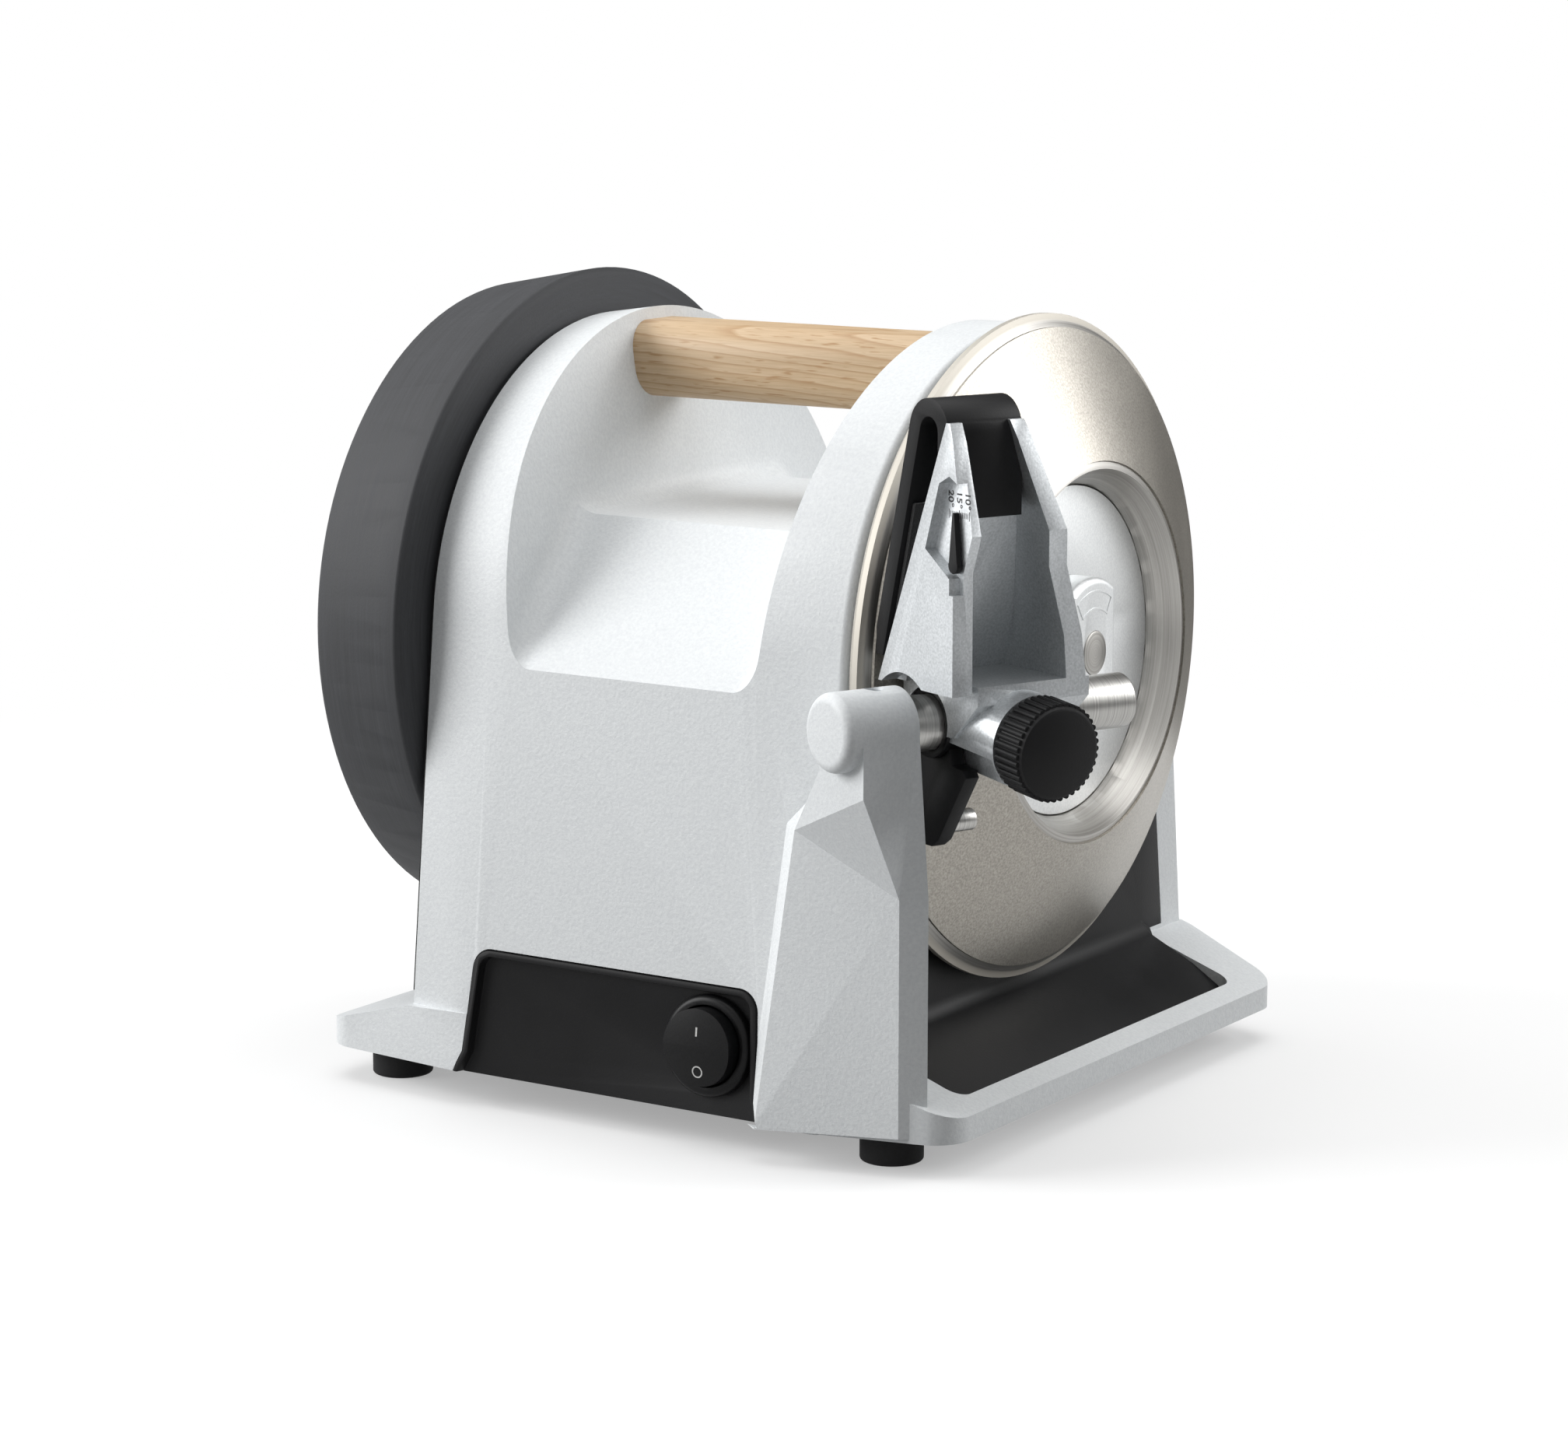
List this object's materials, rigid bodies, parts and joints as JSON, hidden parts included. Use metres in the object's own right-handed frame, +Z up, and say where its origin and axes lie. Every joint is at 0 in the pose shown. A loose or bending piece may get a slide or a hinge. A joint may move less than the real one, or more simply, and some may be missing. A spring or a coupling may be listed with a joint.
{
  "type": "motor-driven knife sharpener",
  "caption": "Bench knife sharpener with a conical diamond wheel, a tapered honing wheel, a wooden carrying handle and an angled knife guide on a support bar.",
  "frame": {"origin": "middle of the underside of the whole object, at the level of the feet", "axes": "+Z up, -Y the switch side, +X along the spindle towards the grinding wheel"},
  "size_m": [0.2008, 0.1828, 0.1833],
  "materials": {
    "housing_paint": "fine textured powder coat",
    "black_plastic": "satin moulded",
    "rubber": "matte",
    "wood": "oiled beech",
    "bright_steel": "turned",
    "diamond": "nickel bonded grit",
    "cast_aluminium": "bead blasted",
    "composite": "moulded composite",
    "bronze": "sintered",
    "copper": "lacquered wire",
    "laminations": "stacked sheet",
    "zinc_steel": "zinc plated",
    "felt": "felt",
    "belt_rubber": "moulded",
    "grey_plastic": "moulded"
  },
  "bodies": {
    "machine": {"housing": "housing_paint", "base_frame": "housing_paint", "bar_post": "housing_paint", "bottom_plate": "black_plastic", "bottom_plate_screws": "zinc_steel", "rubber_feet": "rubber", "foot_screws": "zinc_steel", "front_panel": "black_plastic", "switch_case": "black_plastic", "switch_terminals": "bronze", "splash_tray": "black_plastic", "left_guard": "black_plastic", "handle": "wood", "handle_bolts": "zinc_steel", "cable_gland": "black_plastic", "spindle_bushes": "bronze", "motor_stator": "laminations", "motor_coils": "copper", "motor_brackets": "cast_aluminium", "motor_bushes": "bronze", "drive_belt": "belt_rubber", "motor_cradle": "grey_plastic", "run_capacitor": "grey_plastic", "terminal_block": "grey_plastic", "support_bar": "bright_steel", "bar_set_screw": "zinc_steel"},
    "spindle": {"spindle_shaft": "bright_steel", "spindle_pulley": "grey_plastic", "shaft_clips": "zinc_steel", "grinding_ring": "bright_steel", "diamond_face": "diamond", "wheel_disc": "cast_aluminium", "honing_wheel": "composite", "honing_hub": "cast_aluminium"},
    "rotor": {"motor_rotor": "laminations", "motor_shaft": "bright_steel", "motor_pulley": "grey_plastic"},
    "wheel_lock": {"wheel_lock_knob": "cast_aluminium"},
    "honing_lock": {"honing_lock_knob": "cast_aluminium"},
    "rocker": {"switch_rocker": "black_plastic"},
    "carriage": {"guide_sleeve": "black_plastic", "angle_lever": "black_plastic", "lever_pin": "bright_steel"},
    "guide": {"guide_body": "cast_aluminium", "guide_hub": "cast_aluminium", "guide_block": "cast_aluminium", "guide_arm": "black_plastic", "arm_pin": "zinc_steel", "felt_strip": "felt"},
    "pointer": {"angle_pointer": "black_plastic"},
    "clamp": {"clamp_screw": "zinc_steel", "clamp_knob": "black_plastic"}
  },
  "joints": [
    {"name": "spindle_spin", "type": "hinge", "parent": "machine", "child": "spindle", "pos_m": [-0.01198, 0.0053, 0.103], "axis": [1, 0, 0], "continuous": true},
    {"name": "rotor_spin", "type": "hinge", "parent": "machine", "child": "rotor", "pos_m": [-0.01198, 0.0053, 0.047], "axis": [1, 0, 0], "continuous": true},
    {"name": "wheel_lock_turn", "type": "hinge", "parent": "spindle", "child": "wheel_lock", "pos_m": [0.06002, 0.0053, 0.103], "axis": [1, 0, 0], "range_deg": [0, 60]},
    {"name": "honing_lock_turn", "type": "hinge", "parent": "spindle", "child": "honing_lock", "pos_m": [-0.09598, 0.0053, 0.103], "axis": [-1, 0, 0], "range_deg": [0, 60]},
    {"name": "rocker_tilt", "type": "hinge", "parent": "machine", "child": "rocker", "pos_m": [0.01302, -0.07454, 0.02296], "axis": [-1, 0, 0], "range_deg": [0, 10]},
    {"name": "guide_slide", "type": "slide", "parent": "machine", "child": "carriage", "axis": [0.4067, 0.9135, 0], "range_m": [-0.004, 0.02]},
    {"name": "guide_tilt", "type": "hinge", "parent": "carriage", "child": "guide", "pos_m": [0.06677, -0.05535, 0.098], "axis": [0.4067, 0.9135, 0], "range_deg": [-5, 5]},
    {"name": "pointer_swing", "type": "hinge", "parent": "guide", "child": "pointer", "pos_m": [0.07624, -0.07588, 0.1336], "axis": [0.4067, 0.9135, 0], "range_deg": [-12, 12]},
    {"name": "clamp_turn", "type": "hinge", "parent": "guide", "child": "clamp", "pos_m": [0.09225, -0.0667, 0.09556], "axis": [0.9101, -0.4052, -0.0872], "range_deg": [0, 180]}
  ],
  "couplings": [
    {"joint": "rotor_spin", "follows": "spindle_spin", "ratio": 4},
    {"joint": "pointer_swing", "follows": "guide_tilt", "ratio": -2}
  ]
}
